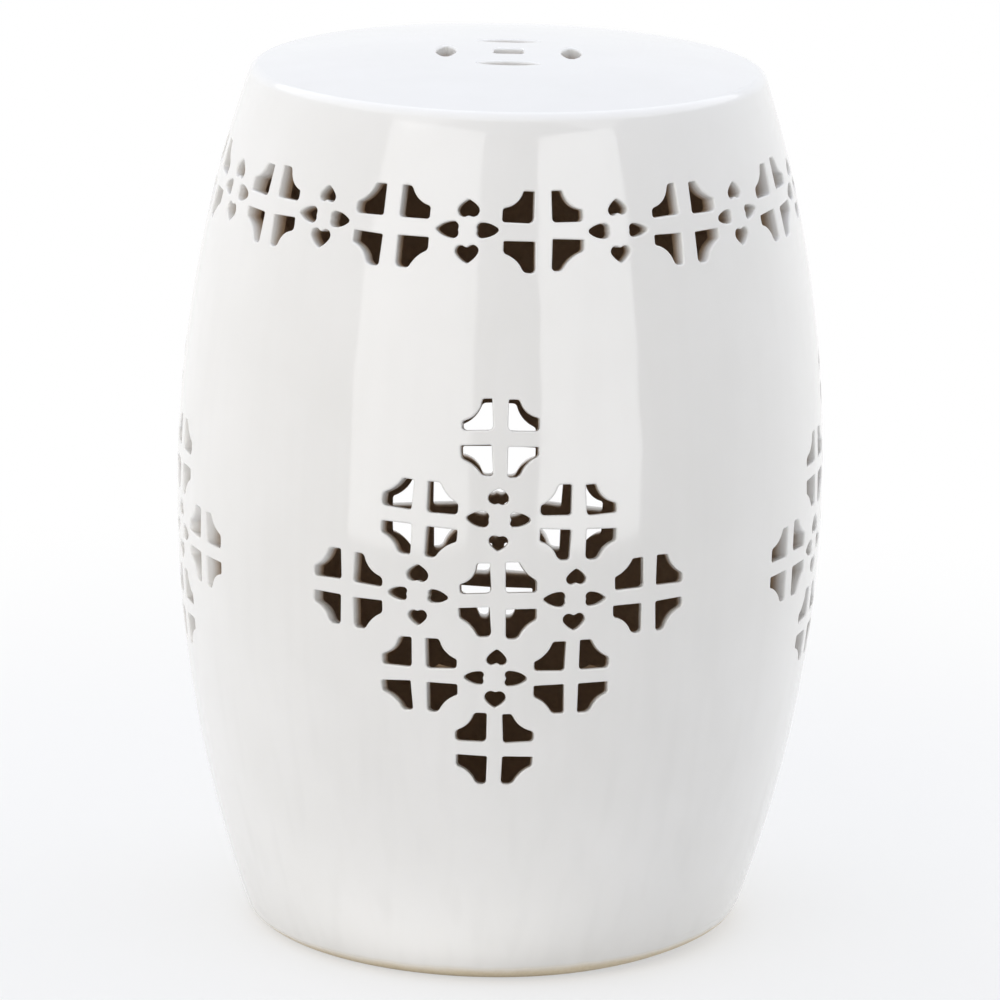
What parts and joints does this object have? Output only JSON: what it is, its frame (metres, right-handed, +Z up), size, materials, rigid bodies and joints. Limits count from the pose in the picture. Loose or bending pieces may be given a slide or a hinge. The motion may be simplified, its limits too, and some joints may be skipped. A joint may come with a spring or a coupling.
{
  "type": "garden stool",
  "caption": "Barrel-shaped garden stool in glazed ceramic, with a slightly crowned seat, a pierced gallery below it, pierced diamond medallions round the belly and an open foot.",
  "frame": {"origin": "on the floor, under the middle of the seat", "axes": "+Z up along the barrel's axis; the front medallion faces -Y and +X is to its right"},
  "size_m": [0.34, 0.34, 0.4655],
  "materials": {
    "white_glaze": "gloss white glaze",
    "foot_clay": "bare buff stoneware under a glazed edge",
    "inner_clay": "bare tan stoneware, matt"
  },
  "bodies": {
    "root": {"seat_plate": "white_glaze", "drum_wall": "white_glaze", "foot_ring": "foot_clay", "seat_coil": "inner_clay", "foot_coil": "inner_clay"}
  },
  "joints": []
}
